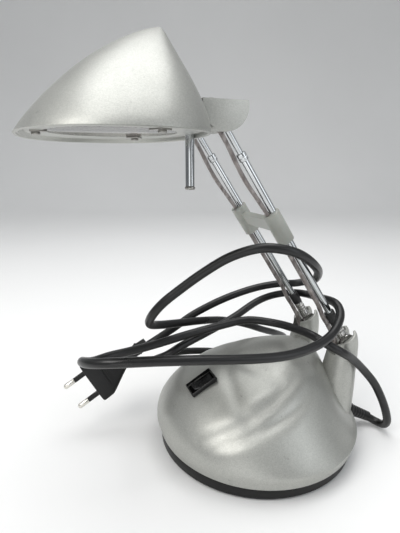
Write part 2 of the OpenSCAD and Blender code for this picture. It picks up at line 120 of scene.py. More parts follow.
def apply_modifiers(obj):
    bpy.context.view_layer.update()
    graph = bpy.context.evaluated_depsgraph_get()
    new = bpy.data.meshes.new_from_object(obj.evaluated_get(graph))
    old = obj.data
    obj.modifiers.clear()
    obj.data = new
    bpy.data.meshes.remove(old)
    return obj


def ring_faces(rings, n, cap_first=False, cap_last=False):
    """Quads between rings of n points each, with an optional face on the first and the last ring."""
    faces = []
    for j in range(rings - 1):
        for i in range(n):
            k = (i + 1) % n
            faces.append((j * n + i, j * n + k, (j + 1) * n + k, (j + 1) * n + i))
    if cap_first:
        faces.append(tuple(range(n - 1, -1, -1)))
    if cap_last:
        faces.append(tuple((rings - 1) * n + i for i in range(n)))
    return faces


def revolve(name, profile, n=96, origin=(0, 0, 0), matrix=None, closed=True, angle=40):
    """A body turned about local z from (radius, height) points. A closed profile is a ring."""
    profile = np.array(profile, float)
    m = len(profile)
    verts = []
    for r, z in profile:
        a = np.arange(n) * 2 * np.pi / n
        verts.append(np.stack([r * np.cos(a), r * np.sin(a), np.full(n, z)], 1))
    verts = np.concatenate(verts)
    faces = ring_faces(m, n)
    if closed:
        for i in range(n):
            k = (i + 1) % n
            faces.append(((m - 1) * n + i, (m - 1) * n + k, k, i))
    if matrix is not None:
        verts = verts @ np.array(matrix, float).T
    verts = verts + np.array(origin, float)
    obj = mesh_object(name, verts, faces, angle=angle)
    drop_degenerate(obj)
    return obj


def drop_degenerate(obj):
    bm = bmesh.new()
    bm.from_mesh(obj.data)
    bmesh.ops.remove_doubles(bm, verts=bm.verts, dist=2e-6)
    bmesh.ops.dissolve_degenerate(bm, edges=bm.edges, dist=1e-7)
    bmesh.ops.recalc_face_normals(bm, faces=bm.faces)
    bm.to_mesh(obj.data)
    bm.free()


def rounded(node, width, segments, limit, smooth_angle):
    """A copy of a CAD solid with its edges rounded over."""
    obj = bpy.data.objects.new(node + "_v", NODES[node].data.copy())
    bpy.context.scene.collection.objects.link(obj)
    obj.data.materials.clear()
    bm = bmesh.new()
    bm.from_mesh(obj.data)
    bmesh.ops.remove_doubles(bm, verts=bm.verts, dist=2e-6)
    bmesh.ops.dissolve_limit(bm, angle_limit=math.radians(0.6), verts=bm.verts, edges=bm.edges)
    bmesh.ops.recalc_face_normals(bm, faces=bm.faces)
    bm.to_mesh(obj.data)
    bm.free()
    for a in list(obj.data.attributes):
        if a.name in ("custom_normal", "sharp_edge", "sharp_face"):
            obj.data.attributes.remove(a)
    bevel = obj.modifiers.new("round", "BEVEL")
    bevel.width = width * MM
    bevel.segments = segments
    bevel.limit_method = "ANGLE"
    bevel.angle_limit = math.radians(limit)
    bevel.use_clamp_overlap = True
    apply_modifiers(obj)
    shade(obj, smooth_angle)
    return obj


def cut_with(obj, cutters):
    for c in cutters:
        m = obj.modifiers.new("cut", "BOOLEAN")
        m.operation = "DIFFERENCE"
        m.solver = "EXACT"
        m.object = c
    apply_modifiers(obj)
    for c in cutters:
        bpy.data.objects.remove(c)
    return obj


def join(objs):
    bpy.ops.object.select_all(action="DESELECT")
    for o in objs:
        o.select_set(True)
    bpy.context.view_layer.objects.active = objs[0]
    bpy.ops.object.join()
    return objs[0]


def cylinder_object(name, r, start, end, n=64):
    start, end = np.array(start, float), np.array(end, float)
    axis = Vector(end - start)
    turn = axis.to_track_quat("Z", "Y").to_matrix()
    a = np.arange(n) * 2 * np.pi / n
    ring = np.stack([r * np.cos(a), r * np.sin(a), np.zeros(n)], 1) @ np.array(turn).T
    verts = np.concatenate([ring + start, ring + end])
    return mesh_object(name, verts, ring_faces(2, n, cap_first=True, cap_last=True))


def box_object(name, low, high, matrix=None, origin=(0, 0, 0)):
    low, high = np.array(low, float), np.array(high, float)
    v = np.array([(x, y, z)
                  for x in (low[0], high[0])
                  for y in (low[1], high[1])
                  for z in (low[2], high[2])])
    if matrix is not None:
        v = v @ np.array(matrix, float).T
    f = [(0, 1, 3, 2), (4, 6, 7, 5), (0, 4, 5, 1), (2, 3, 7, 6), (0, 2, 6, 4), (1, 5, 7, 3)]
    return mesh_object(name, v + np.array(origin, float), f, smooth=False)


def spline(points, per):
    """A Catmull-Rom curve through the points, with per steps from each to the next."""
    p = np.array(points, float)
    q = np.vstack([p[0], p, p[-1]])
    out = []
    for i in range(1, len(q) - 2):
        a, b, c, d = q[i - 1:i + 3]
        for j in range(per):
            t = j / per
            square, cube = 2 * a - 5 * b + 4 * c - d, 3 * b - a - 3 * c + d
            out.append(0.5 * (2 * b + (c - a) * t + square * t * t + cube * t ** 3))
    out.append(q[-2])
    return np.array(out)


def smooth_line(line, passes):
    line = line.copy()
    for _ in range(passes):
        line[1:-1] = 0.5 * line[1:-1] + 0.25 * (line[:-2] + line[2:])
    return line


def swept(name, line, radius, n=20, wobble=None):
    """A round tube along a line, with flat ends. wobble(i, angles) varies its radius."""
    line = np.array(line, float)
    m = len(line)
    d = np.gradient(line, axis=0)
    d /= np.linalg.norm(d, axis=1)[:, None]
    side = np.cross(d[0], [0.0, 0.0, 1.0])
    if np.linalg.norm(side) < 0.1:
        side = np.cross(d[0], [1.0, 0.0, 0.0])
    verts = []
    a = np.arange(n) * 2 * np.pi / n
    for i in range(m):
        side = side - (side @ d[i]) * d[i]
        side /= np.linalg.norm(side)
        up = np.cross(d[i], side)
        r = radius if wobble is None else radius * wobble(i, a)
        verts.append(line[i] + (r * np.cos(a))[:, None] * side + (r * np.sin(a))[:, None] * up)
    faces = ring_faces(m, n, cap_first=True, cap_last=True)
    return mesh_object(name, np.concatenate(verts), faces, angle=50)


def turn_matrix(x=0.0, y=0.0, z=0.0):
    """OpenSCAD's rotate([x, y, z])."""
    def about(axis, a):
        return np.array(Matrix.Rotation(math.radians(a), 3, axis))
    return about("Z", z) @ about("Y", y) @ about("X", x)


# ---------------------------------------------------------------- materials
class Nodes:
    """A node material, with short calls for the nodes used here."""

    def __init__(self, name):
        self.mat = bpy.data.materials.new(name)
        self.mat.use_nodes = True
        self.tree = self.mat.node_tree
        self.tree.nodes.clear()
        self.out = self.add("ShaderNodeOutputMaterial")
        self.bsdf = self.add("ShaderNodeBsdfPrincipled")
        self.link(self.bsdf, "BSDF", self.out, "Surface")
        self.coord = self.add("ShaderNodeTexCoord")

    def add(self, kind, **inputs):
        node = self.tree.nodes.new(kind)
        for k, v in inputs.items():
            if hasattr(node, k):
                setattr(node, k, v)
            else:
                node.inputs[k.replace("_", " ")].default_value = v
        return node

    def link(self, a, out, b, inp):
        self.tree.links.new(a.outputs[out], b.inputs[inp])

    def noise(self, scale, detail=3.0, rough=0.5, stretch=None):
        n = self.add("ShaderNodeTexNoise", Scale=scale, Detail=detail, Roughness=rough)
        if stretch is None:
            self.link(self.coord, "Object", n, "Vector")
        else:
            m = self.add("ShaderNodeMapping")
            m.inputs["Scale"].default_value = stretch
            self.link(self.coord, "Object", m, "Vector")
            self.link(m, "Vector", n, "Vector")
        return n

    def cells(self, scale):
        v = self.add("ShaderNodeTexVoronoi", Scale=scale)
        self.link(self.coord, "Object", v, "Vector")
        return v

    def ramp(self, src, out, stops):
        r = self.add("ShaderNodeValToRGB")
        els = r.color_ramp.elements
        while len(els) < len(stops):
            els.new(0.5)
        for e, (p, c) in zip(els, stops):
            e.position = p
            e.color = (c, c, c, 1) if np.isscalar(c) else (*c, 1)
        self.link(src, out, r, "Fac")
        return r

    def multiply(self, fac, a, b):
        """Colour a, multiplied by colour b as far as fac says. Both are (node, output)."""
        m = self.add("ShaderNodeMix")
        m.data_type = "RGBA"
        m.blend_type = "MULTIPLY"
        m.inputs[0].default_value = fac
        for sock, (node, out) in ((6, a), (7, b)):
            self.tree.links.new(node.outputs[out], m.inputs[sock])
        return m

    def colour(self, node, out="Color"):
        self.tree.links.new(node.outputs[out], self.bsdf.inputs["Base Color"])

    def rough(self, node):
        self.tree.links.new(node.outputs["Color"], self.bsdf.inputs["Roughness"])

    def bump(self, *layers):
        last = None
        for node, out, strength, dist in layers:
            b = self.add("ShaderNodeBump", Strength=strength, Distance=dist)
            self.link(node, out, b, "Height")
            if last is not None:
                self.link(last, "Normal", b, "Normal")
            last = b
        self.link(last, "Normal", self.bsdf, "Normal")

    def set(self, **values):
        for k, v in values.items():
            self.bsdf.inputs[k.replace("_", " ")].default_value = v


def silver_paint():
    low, high = (0.375, 0.38, 0.355), (0.44, 0.443, 0.415)
    m = Nodes("silver_paint")
    m.set(Metallic=0.72, IOR=1.5, Coat_Weight=0.16, Coat_Roughness=0.30)
    cloud = m.noise(9.0, 3.0)
    base = m.ramp(cloud, "Fac", [(0.3, low), (0.72, high)])
    flake = m.cells(2600.0)
    glint = m.ramp(flake, "Color", [(0.25, 0.80), (0.75, 1.14)])
    c1 = m.multiply(0.5, (base, "Color"), (glint, "Color"))
    spots = m.noise(210.0, 2.0, 0.6)
    spot = m.ramp(spots, "Fac", [(0.70, 1.0), (0.765, 0.55)])
    c2 = m.multiply(0.55, (c1, 2), (spot, "Color"))
    scuff = m.noise(38.0, 5.0, 0.65, stretch=(1.0, 3.2, 1.0))
    mark = m.ramp(scuff, "Fac", [(0.66, 1.0), (0.72, 0.80)])
    c3 = m.multiply(0.5, (c2, 2), (mark, "Color"))
    m.colour(c3, 2)
    r = m.ramp(m.noise(60.0, 4.0, 0.6), "Fac", [(0.25, 0.36), (0.75, 0.48)])
    m.rough(r)
    grain = m.noise(520.0, 2.0)
    m.bump((flake, "Distance", 0.06, 0.0002), (grain, "Fac", 0.10, 0.0002), (cloud, "Fac", 0.05, 0.002))
    return m.mat


def black_plastic(name, level, rough, grain, depth):
    m = Nodes(name)
    m.set(Metallic=0.0, IOR=1.4)
    cloud = m.noise(40.0, 4.0, 0.6)
    dark, light = (level * 0.75, level * 0.75, level * 0.8), (level * 1.5, level * 1.5, level * 1.5)
    m.colour(m.ramp(cloud, "Fac", [(0.3, dark), (0.75, light)]))
    m.rough(m.ramp(m.noise(75.0, 4.0, 0.6), "Fac", [(0.3, rough[0]), (0.72, rough[1])]))
    fine, pits = m.noise(grain, 2.0, 0.5), m.cells(grain * 0.7)
    m.bump((fine, "Fac", depth, 0.0002), (pits, "Distance", depth * 0.6, 0.0001))
    return m.mat


def cord_pvc():
    m = Nodes("cord_pvc")
    m.set(Metallic=0.0, IOR=1.45, Coat_Weight=0.1, Coat_Roughness=0.22)
    dust = m.noise(120.0, 5.0, 0.65)
    clean, worn, dusty = (0.003, 0.003, 0.0035), (0.006, 0.006, 0.006), (0.018, 0.018, 0.0175)
    m.colour(m.ramp(dust, "Fac", [(0.35, clean), (0.68, worn), (0.85, dusty)]))
    m.rough(m.ramp(m.noise(55.0, 4.0, 0.6), "Fac", [(0.3, 0.26), (0.7, 0.42)]))
    m.bump((m.noise(420.0, 3.0, 0.55), "Fac", 0.12, 0.0003), (m.noise(85.0, 2.0), "Fac", 0.10, 0.001))
    return m.mat


def metal(name, colour, rough, scratch, stretch=(1.0, 1.0, 1.0)):
    m = Nodes(name)
    m.set(Metallic=1.0)
    haze = m.noise(28.0, 4.0, 0.6)
    dark = tuple(c * 0.85 for c in colour)
    m.colour(m.ramp(haze, "Fac", [(0.3, dark), (0.7, colour)]))
    fine = m.noise(220.0, 4.0, 0.6, stretch=stretch)
    m.rough(m.ramp(fine, "Fac", [(0.25, rough[0]), (0.78, rough[1])]))
    m.bump((fine, "Fac", scratch, 0.0002), (haze, "Fac", scratch * 0.5, 0.001))
    return m.mat


def plastic(name, low, high, rough=(0.35, 0.5), scale=30.0, grain=600.0, depth=0.1, subsurface=0.0):
    m = Nodes(name)
    m.set(Metallic=0.0, IOR=1.48, Subsurface_Weight=subsurface, Subsurface_Scale=0.002)
    cloud = m.noise(scale, 4.0, 0.6)
    m.colour(m.ramp(cloud, "Fac", [(0.3, low), (0.72, high)]))
    m.rough(m.ramp(m.noise(90.0, 3.0), "Fac", [(0.3, rough[0]), (0.7, rough[1])]))
    m.bump((m.noise(grain, 3.0), "Fac", depth, 0.0002), (cloud, "Fac", depth * 0.4, 0.0005))
    return m.mat


def lead_pvc():
    m = Nodes("lead_pvc")
    m.set(Metallic=0.1, IOR=1.5, Coat_Weight=0.6, Coat_Roughness=0.14)
    strands = m.noise(520.0, 2.0, 0.5, stretch=(1.0, 0.6, 0.3))
    dark, mid, light = (0.12, 0.10, 0.095), (0.20, 0.175, 0.165), (0.30, 0.27, 0.26)
    strand = m.ramp(strands, "Fac", [(0.34, dark), (0.52, mid), (0.68, light)])
    cloud = m.ramp(m.noise(60.0, 3.0), "Fac", [(0.3, 0.85), (0.7, 1.05)])
    m.colour(m.multiply(0.6, (strand, "Color"), (cloud, "Color")), 2)
    m.rough(m.ramp(strands, "Fac", [(0.3, 0.24), (0.7, 0.4)]))
    m.bump((strands, "Fac", 0.10, 0.0003), (m.noise(150.0, 2.0), "Fac", 0.06, 0.0005))
    return m.mat


def clear_glass(name, tint, rough):
    m = Nodes(name)
    m.set(Metallic=0.0, IOR=1.47, Transmission_Weight=0.92)
    smear = m.noise(24.0, 5.0, 0.7)
    m.colour(m.ramp(smear, "Fac", [(0.3, tuple(c * 0.93 for c in tint)), (0.7, tint)]))
    m.rough(m.ramp(smear, "Fac", [(0.35, rough[0]), (0.75, rough[1])]))
    m.bump((m.noise(90.0, 3.0), "Fac", 0.03, 0.0005))
    return m.mat


def laminated():
    m = Nodes("iron_core")
    m.set(Metallic=0.85)
    bands = m.noise(900.0, 1.0, 0.3, stretch=(0.02, 1.0, 0.02))
    m.colour(m.ramp(bands, "Fac", [(0.4, (0.10, 0.10, 0.11)), (0.6, (0.33, 0.33, 0.35))]))
    m.rough(m.ramp(bands, "Fac", [(0.4, 0.55), (0.6, 0.35)]))
    m.bump((bands, "Fac", 0.5, 0.0004))
    return m.mat


def coil_tape():
    m = Nodes("copper_coil")
    m.set(Metallic=0.2, IOR=1.5, Coat_Weight=0.5)
    wrap = m.noise(420.0, 2.0, 0.4, stretch=(0.1, 0.1, 1.0))
    m.colour(m.ramp(wrap, "Fac", [(0.35, (0.42, 0.18, 0.05)), (0.65, (0.70, 0.36, 0.14))]))
    m.rough(m.ramp(wrap, "Fac", [(0.3, 0.3), (0.7, 0.5)]))
    m.bump((wrap, "Fac", 0.4, 0.0005))
    return m.mat


MATS = {
    "silver_paint": silver_paint(),
    "black_pan": black_plastic("black_pan", 0.003, (0.34, 0.5), 1100.0, 0.14),
    "rubber_foot": black_plastic("rubber_foot", 0.035, (0.7, 0.85), 700.0, 0.3),
    "steel_screw": metal("steel_screw", (0.62, 0.62, 0.60), (0.24, 0.42), 0.12),
    "iron_core": laminated(),
    "copper_coil": coil_tape(),
    "white_plastic": plastic("white_plastic", (0.74, 0.74, 0.70), (0.84, 0.84, 0.80)),
    "switch_black": black_plastic("switch_black", 0.005, (0.22, 0.36), 1300.0, 0.08),
    "cord_pvc": cord_pvc(),
    "plug_pvc": black_plastic("plug_pvc", 0.005, (0.36, 0.52), 850.0, 0.2),
    "plug_metal": metal("plug_metal", (0.80, 0.78, 0.72), (0.16, 0.32), 0.12),
    "chrome": metal("chrome", (0.56, 0.58, 0.59), (0.05, 0.15), 0.03, (1.0, 1.0, 0.25)),
    "foot_metal": metal("foot_metal", (0.55, 0.545, 0.53), (0.14, 0.30), 0.08),
    "sleeve_black": black_plastic("sleeve_black", 0.02, (0.35, 0.5), 900.0, 0.12),
    "clip_plastic": plastic("clip_plastic", (0.31, 0.32, 0.29), (0.39, 0.40, 0.365),
                            (0.30, 0.44), 45.0, 700.0, 0.12, 0.05),
    "lead_pvc": lead_pvc(),
    # The cover glass's tint and the reflector's colour are darkened as painted shade of the inside of the
    # head.
    "glass_clear": clear_glass("glass_clear", (0.74, 0.71, 0.68), (0.05, 0.14)),
    "reflector_alu": metal("reflector_alu", (0.62, 0.61, 0.59), (0.16, 0.30), 0.06, (1.0, 1.0, 4.0)),
    "ceramic": plastic("ceramic", (0.78, 0.76, 0.70), (0.86, 0.84, 0.79),
                       (0.4, 0.6), 60.0, 900.0, 0.15),
    "bulb_glass": clear_glass("bulb_glass", (0.97, 0.97, 0.96), (0.02, 0.05)),
    "claw_metal": metal("claw_metal", (0.36, 0.35, 0.33), (0.25, 0.42), 0.12),
}
SLOT = {s["node"]: s["material_slot"] for s in frame["record"]["subparts"]}


def dress(obj, name):
    obj.data.materials.clear()
    obj.data.materials.append(MATS[name])
    return obj


def stand_for(obj, node, body):
    """Dresses a piece, makes it ride on a body and lets it stand for a CAD node."""
    dress(obj, SLOT[node])
    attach(obj, body)
    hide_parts(node)
    return obj


BODY_OF = {n: o["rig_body"] for n, o in NODES.items()}
for node, obj in NODES.items():
    dress(obj, SLOT[node])


def round_over(node, width, segments, limit, smooth_angle):
    return stand_for(rounded(node, width, segments, limit, smooth_angle), node, BODY_OF[node])


# ---------------------------------------------------------------- camera
# Fitted to the picture: metres, degrees down and round, millimetres of lens and sensor.
CAMERA_AT = (0.245, -0.134, 0.2025)
pitch, az = math.radians(14.2), math.radians(69.6)
back = Vector((math.sin(az) * math.cos(pitch), -math.cos(az) * math.cos(pitch), math.sin(pitch)))
right = Vector((math.cos(az), math.sin(az), 0))
up = back.cross(right)
cam_data = bpy.data.cameras.new("camera")
cam_data.lens = 27.0
cam_data.sensor_width = 36.0
cam_data.clip_start = 0.01
cam = bpy.data.objects.new("camera", cam_data)
place = Matrix((right, up, back)).transposed().to_4x4()
place.translation = Vector(CAMERA_AT)
cam.matrix_world = place
bpy.context.scene.collection.objects.link(cam)
bpy.context.scene.camera = cam

# ---------------------------------------------------------------- cord and plug
ROUTE = [
    (18.4, 64, 19.5), (21.8, 76.2, 13.6), (25.3, 88.4, 7.7), (31.5, 95, 4.2), (38.5, 96.5, 5.6),
    (43, 94.5, 12.5), (43.5, 91, 22.5), (42, 87, 33), (39.5, 81, 45), (38, 71, 57), (40, 58, 69),
    (43, 45, 78),
    (39, 35, 84), (28, 30, 87), (12, 27, 86), (-4, 20, 85), (-15, 2, 86), (-16, -21, 84), (-14, -46, 82),
    (-13, -68, 79), (-12, -88, 77), (-9, -105, 77), (-1, -117, 79), (14, -124, 87.5), (29, -120, 93),
    (39, -108, 96), (44, -86, 95.5), (48, -60, 93.5), (51, -32, 90.5), (52, -6, 88.5), (49, 16, 89),
    (44, 33, 92), (38, 44, 97), (31.4, 50.6, 102.4), (22, 52.6, 106.4), (0, 54.5, 103.3),
    (-20, 57.6, 99.4), (-33, 54, 97),
    (-41, 41, 94), (-38, 22, 91), (-31, -2, 83), (-24, -27, 77), (-17, -49, 73), (-15, -62, 68),
    (-22, -72, 60.5), (-35, -71, 54), (-47, -60, 50), (-59, -43, 46), (-69, -21, 39), (-78, 4, 30),
    (-83, 28, 21), (-90, 52, 15), (-93, 74, 19), (-82, 80, 31), (-68, 62, 44), (-60, 42, 54),
    (-54, 19, 65.5),
    (-46, -6, 75.5), (-31, -32, 84), (-23, -52.5, 88), (-14, -69, 92.5), (-5, -77.5, 98), (4, -78, 107),
    (10, -72, 117), (14, -62, 126), (20, -49, 137), (28, -34, 148), (36, -18, 154), (41, -3, 153),
    (41, 10, 148), (35, 24, 139), (23, 36, 130), (6, 46, 120), (-12, 51, 113), (-28, 52, 107),
    (-40, 42, 104),
    (-44, 22, 101), (-44, -5, 95), (-43, -31, 86), (-39.5, -50, 77.5), (-38, -66, 70), (-39.5, -79, 62.5),
    (-42.7, -93, 53),
]
cord_line = smooth_line(spline(ROUTE, 10), 3)
cord_piece = stand_for(swept("mains_cord_v", cord_line, CORD_R, 24), "mains_cord", "base")

PLUG_AT = np.array([-47.0, -115.0, 38.5])
PLUG_TURN = turn_matrix(z=-11) @ turn_matrix(33, -17) @ turn_matrix(90)


def plug_shell():
    """The moulded body: rounded slices from the face back to the neck. Local z runs out along the pins."""
    def slice_at(z, half_w, half_t, soft, n=72):
        a = np.arange(n) * 2 * np.pi / n
        c, s = np.cos(a), np.sin(a)
        x = half_t * np.sign(c) * np.abs(c) ** soft
        y = half_w * np.sign(s) * np.abs(s) ** soft
        return np.stack([x, y, np.full(n, z)], 1)
    rows = [(0.0, 0.2, 0.2, 0.35), (0.0, 15.2, 5.2, 0.35), (0.0, 16.2, 6.0, 0.35),
            (-0.5, 16.8, 6.6, 0.35), (-1.4, 17.0, 6.8, 0.36), (-5.0, 17.0, 6.8, 0.38),
            (-8.0, 16.9, 6.8, 0.40), (-9.6, 16.5, 6.75, 0.42), (-11.5, 15.6, 6.6, 0.45),
            (-14, 14.3, 6.35, 0.48), (-17, 12.6, 6.1, 0.52), (-20, 10.9, 5.9, 0.58),
            (-23, 9.3, 5.7, 0.68), (-25.5, 8.0, 5.5, 0.8), (-27.2, 7.2, 5.4, 0.95),
            (-28.2, 6.9, 5.6, 1.0), (-28.5, 7.6, 7.2, 1.0), (-28.9, 8.0, 7.8, 1.0),
            (-30.2, 8.0, 8.0, 1.0), (-30.8, 7.7, 7.7, 1.0), (-31.0, 7.2, 7.2, 1.0),
            (-31.0, CORD_R + 0.1, CORD_R + 0.1, 1.0)]
    rings = [slice_at(*r) for r in rows]
    n = len(rings[0])
    return np.concatenate(rings), ring_faces(len(rings), n, cap_first=True, cap_last=True)


v, f = plug_shell()
plug = mesh_object("plug_body_v", v @ PLUG_TURN.T + PLUG_AT, f, angle=45)
press = []
for i, z in enumerate((-12.5, -15.1, -17.7, -22.8)):
    for s in (-1, 1):
        lo, hi = sorted((s * 5.95, s * 9.0))
        press.append(box_object("grip%d" % i, (lo, -30, z), (hi, 30, z + 0.7), PLUG_TURN, PLUG_AT))
plug = cut_with(plug, press)
shade(plug, 40)
stand_for(plug, "plug_body", "base")

CORD_HOLE = CORD_R + 0.02
relief_rows = []
for k in range(0, 61):
    z = k / 3
    r = 5.3 - (5.3 - 3.9) * z / 20
    if 1.5 < z < 10.5:
        r -= 0.75 * max(0.0, math.sin((z - 1.5) * 2 * math.pi / 1.8)) ** 0.5
    if 11.0 <= z <= 12.8:
        r = 4.9 + 0.4 * math.sin((z - 11.0) / 1.8 * math.pi)
    relief_rows.append((r, -z))
relief_rows += [(3.5, -20.05), (CORD_HOLE, -20.0), (CORD_HOLE, -0.2)]
relief_at = PLUG_AT + PLUG_TURN @ np.array([0, 0, -31.0])
relief = revolve("plug_strain_relief_v", relief_rows, 48, relief_at, PLUG_TURN)
stand_for(relief, "plug_strain_relief", "base")
PIN_ASIDE = 9.3
pin_rows = [(0.01, -8), (1.4, -8), (1.4, 9.9), (1.9, 9.9), (2.0, 10.05), (2.0, 17.2), (1.9, 17.9),
            (1.6, 18.5), (1.15, 18.9), (0.6, 19.0), (0.01, 19.0)]
sleeve_rows = [(2.0, -1.0), (2.0, 9.7), (1.92, 9.95), (1.7, 10.0), (1.42, 10.0), (1.42, -1.0)]
for k, s in (("a", -1), ("b", 1)):
    at = PLUG_AT + PLUG_TURN @ np.array([0, s * PIN_ASIDE, 0.0])
    pin = revolve("plug_pin_%s_v" % k, pin_rows, 36, at, PLUG_TURN, closed=False)
    stand_for(pin, "plug_pin_" + k, "base")
    sleeve = revolve("plug_sleeve_%s_v" % k, sleeve_rows, 36, at, PLUG_TURN)
    stand_for(sleeve, "plug_sleeve_" + k, "base")

GLAND_ROUND, GLAND_DOWN = math.radians(74), math.radians(25)
gland_dir = np.array([math.cos(GLAND_DOWN) * math.cos(GLAND_ROUND),
                      math.cos(GLAND_DOWN) * math.sin(GLAND_ROUND),
                      -math.sin(GLAND_DOWN)])
GLAND_AT = np.array([19.8, 69.2, 17.0])
GLAND_TURN = turn_matrix(z=74) @ turn_matrix(y=115)
NECK_FROM, NECK_LONG = 8.8, 17.2
gland_rows = [(CORD_HOLE, -3), (6.6, -3), (7.0, -2.6), (7.0, -1.4), (6.6, -1.0), (4.2, -1.0),
              (4.2, 6.4), (5.0, 6.4), (5.4, 6.8), (5.4, 8.3), (5.0, NECK_FROM)]
for k in range(0, 49):
    z = NECK_FROM + k * NECK_LONG / 48
    r = 4.6 - 0.9 * (z - NECK_FROM) / NECK_LONG
    if 9.6 < z < 22:
        r -= 0.3 * max(0.0, math.sin((z - 9.6) * 2 * math.pi / 2.48)) ** 0.5
    gland_rows.append((r, z))
gland_rows += [(3.4, 26.0), (CORD_HOLE, 25.9)]
stand_for(revolve("cord_gland_v", gland_rows, 48, GLAND_AT, GLAND_TURN), "cord_gland", "base")

# ---------------------------------------------------------------- base
# The dome's reach at the crease: forward and back from the line its peak leans to, and to each side.
PEAK_Y, TO_FRONT, TO_REAR, TO_SIDE = 35, 108, 42, 77


def dome_value(x, y, z):
    """Below zero inside the dome, roughly in millimetres."""
    s = np.clip((z - CREASE_Z) / (DOME_TOP - CREASE_Z), 0, 0.9995)
    front = PEAK_Y - TO_FRONT * (1 - s ** 2.2) ** 0.6
    rear = PEAK_Y + (TO_REAR - 27 * s ** 0.6) * (1 - s ** 12) ** 0.5
    half = TO_SIDE * (1 - s ** 1.2) ** 0.55
    mid, reach = (front + rear) / 2, (rear - front) / 2
    g = np.sqrt((x / half) ** 2 + ((y - mid) / reach) ** 2)
    value = (g - 1) * np.minimum(half, reach)
    return np.where(z > DOME_TOP - 0.05, z - DOME_TOP + 0.6, value)


def line_distance(p, line):
    """Distance of each point from a line, and how far along the line (0 to 1) it comes closest."""
    best = np.full(len(p), 1e9)
    where = np.zeros(len(p))
    total = len(line) - 1
    for i in range(total):
        a, d = line[i], line[i + 1] - line[i]
        t = np.clip(((p - a) @ d) / (d @ d), 0, 1)
        dist = np.linalg.norm(p - a - t[:, None] * d, axis=1)
        near = dist < best
        best[near] = dist[near]
        where[near] = ((i + t) / total)[near]
    return best, where


VALLEY = [(-38, 4, 57), (-26, -5, 61), (-11, -14, 63), (2, -22, 62), (14, -27, 59), (27, -29, 55),
          (37, -30, 51), (46, -28, 46), (54, -24, 40)]
# The grooves of the relief on one side: points, depth and half width.
SWEEPS = [
    ([(36, -60, 29), (41, -54, 33), (46, -43, 39), (48, -30, 44), (47, -18, 49), (44, -5, 53),
      (38, 10, 58), (29, 25, 63)], 1.0, 4.4),
    ([(46, -58, 26), (50, -47, 33), (54, -33, 38), (55, -20, 42), (54, -6, 46), (50, 8, 50),
      (42, 21, 54), (34, 32, 58)], 1.15, 4.2),
]
# The band under the crease, from the crease down and round to the inside: height, inset.
BAND = [
    (17.75, 0.0), (17.5, 0.25), (17.2, 0.75), (16.8, 0.85), (16.3, 0.8), (15.5, 0.9), (13.5, 1.3),
    (11.4, 1.8), (10.5, 2.1), (10.1, 2.7), (10.0, 3.4), (10.0, 5.0), (10.4, 5.4), (14.0, 5.6),
]


def base_surface():
    """The shell: the dome found along rays from its middle, its relief, and the band below."""
    around, levels = 400, 150
    theta = np.arange(around) * 2 * np.pi / around
    phi = (np.linspace(0, 1, levels) ** 0.92) * (np.pi / 2)
    centre = np.array([0.0, 10.0, CREASE_Z])
    T, F = np.meshgrid(theta, phi)
    dirs = np.stack([np.cos(F) * np.cos(T), np.cos(F) * np.sin(T), np.sin(F)], -1).reshape(-1, 3)
    # The last step out along each ray that is still inside, then 16 halvings to the surface.
    steps = np.linspace(30, 96, 90)
    values = np.stack([dome_value(*(centre[:, None] + dirs.T * t)) for t in steps])
    inside = values < 0
    last = inside.shape[0] - 1 - np.argmax(inside[::-1], axis=0)
    last = np.minimum(last, len(steps) - 2)
    lo, hi = steps[last], steps[last + 1]
    for _ in range(16):
        mid = (lo + hi) / 2
        v = dome_value(*(centre[:, None] + dirs.T * mid))
        lo, hi = np.where(v < 0, mid, lo), np.where(v < 0, hi, mid)
    P = centre + dirs * ((lo + hi) / 2)[:, None]
    P[:around, 2] = CREASE_Z
    G = P.reshape(levels, around, 3)
    du = np.roll(G, -1, 1) - np.roll(G, 1, 1)
    dv = np.gradient(G, axis=0)
    N = np.cross(du, dv).reshape(-1, 3)
    N /= np.maximum(np.linalg.norm(N, axis=1), 1e-9)[:, None]
    N[(N * dirs).sum(1) < 0] *= -1
    # Relief along the normals: grooves with a soft ridge beside them, none near the crease.
    lift = np.zeros(len(P))
    high = np.clip((P[:, 2] - CREASE_Z - 2) / 9, 0, 1)
    for side in (-1, 1):
        for points, depth, width in SWEEPS:
            line = spline([(side * x, y, z) for x, y, z in points], 5)
            dist, where = line_distance(P, line)
            fade = np.sin(np.pi * np.clip(where, 0, 1)) ** 0.7
            lift -= depth * fade * np.exp(-(dist / width) ** 2)
            lift += 0.45 * depth * fade * np.exp(-((dist - 2.1 * width) / (1.3 * width)) ** 2)
    for side in (1, -1):
        dist, where = line_distance(P, spline([(side * x, y, z) for x, y, z in VALLEY], 5))
        lift -= 0.9 * np.sin(np.pi * np.clip(where, 0, 1)) ** 0.6 * np.exp(-(dist / 5.0) ** 2)
    P += N * (lift * high)[:, None]
    rings = list(P.reshape(levels, around, 3))
    below = []
    for z, inset in BAND:
        a = rings[0].copy()
        rel = a - np.array([0, BASE_Y, 0])
        length = np.linalg.norm(rel[:, :2], axis=1)
        a[:, :2] = np.array([0, BASE_Y]) + rel[:, :2] * (1 - inset / length)[:, None]
        a[:, 2] = z
        below.append(a)
    stack = below[::-1] + rings
    return np.concatenate(stack), ring_faces(len(stack), around, cap_last=True)


